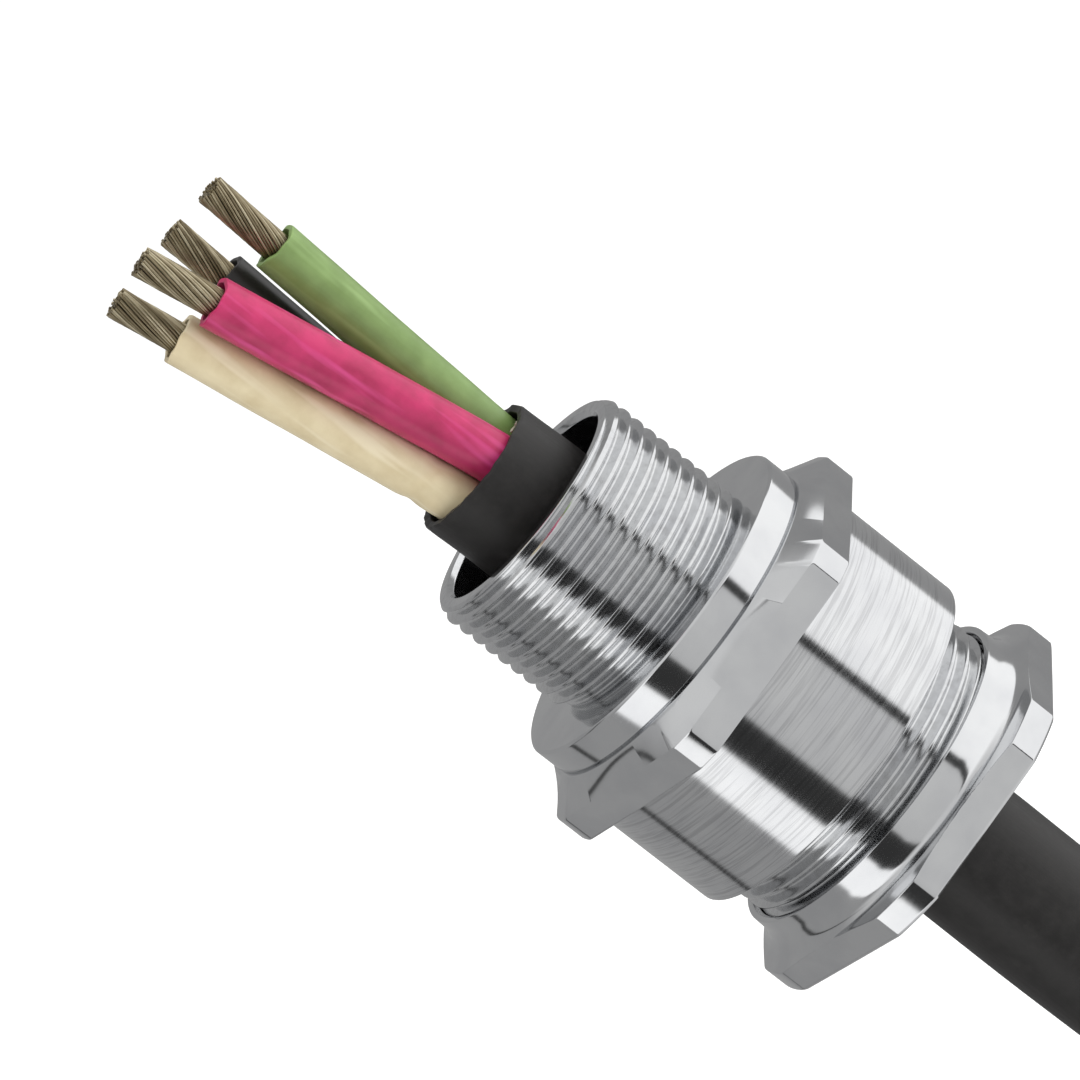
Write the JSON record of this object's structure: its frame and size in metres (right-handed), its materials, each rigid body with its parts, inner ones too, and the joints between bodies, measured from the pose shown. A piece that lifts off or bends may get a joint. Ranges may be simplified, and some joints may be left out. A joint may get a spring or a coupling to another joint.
{
  "type": "cable gland",
  "caption": "Nickel-plated brass cable gland with hexagon body, metric entry thread and back nut, on a stripped four-core cable.",
  "frame": {"origin": "centre of the collar's seat face on the gland's axis, where the gland sits against the enclosure wall", "axes": "+Z along the gland's axis towards the entry thread and the stripped cores, so the cable leaves towards -Z; the hexagons' flats face +Y and -Y and their corners +X and -X"},
  "size_m": [0.0414, 0.037, 0.1766],
  "materials": {
    "nickel_plated_brass": "bright nickel plate over fine turning marks",
    "plain_brass": "turned",
    "neoprene_seal": "moulded, matte",
    "nylon_cage": "moulded",
    "cable_jacket": "extruded, slightly dull",
    "filler_yarn": "fibrillated yarn",
    "insulation_red": "extruded, smooth",
    "insulation_cream": "extruded, smooth",
    "insulation_green": "extruded, smooth",
    "insulation_black": "extruded, smooth",
    "stranded_copper": "fine bare strands, dulled"
  },
  "bodies": {
    "gland_body": {"gland_body": "nickel_plated_brass", "front_ferrule": "plain_brass", "compression_seal": "neoprene_seal", "cable_jacket": "cable_jacket", "cable_tail": "cable_jacket", "centre_filler": "filler_yarn", "valley_filler_1": "filler_yarn", "valley_filler_2": "filler_yarn", "valley_filler_3": "filler_yarn", "valley_filler_4": "filler_yarn", "core_insulation_red": "insulation_red", "core_insulation_cream": "insulation_cream", "core_insulation_green": "insulation_green", "core_insulation_black": "insulation_black", "conductor_red": "stranded_copper", "conductor_cream": "stranded_copper", "conductor_green": "stranded_copper", "conductor_black": "stranded_copper"},
    "skid_washer": {"skid_washer": "plain_brass", "clamp_cage": "nylon_cage"},
    "back_nut": {"back_nut": "nickel_plated_brass"}
  },
  "joints": [
    {"name": "washer_slide", "type": "slide", "parent": "gland_body", "child": "skid_washer", "axis": [0, 0, 1], "range_m": [-0.0024, 0.00155], "deforming": ["compression_seal"]},
    {"name": "nut_turn", "type": "hinge", "parent": "skid_washer", "child": "back_nut", "pos_m": [0, 0, -0.0297], "axis": [0, 0, 1], "range_deg": [-576, 372]}
  ],
  "couplings": [
    {"joint": "washer_slide", "follows": "nut_turn", "m_per_rad": 0.00023873}
  ]
}
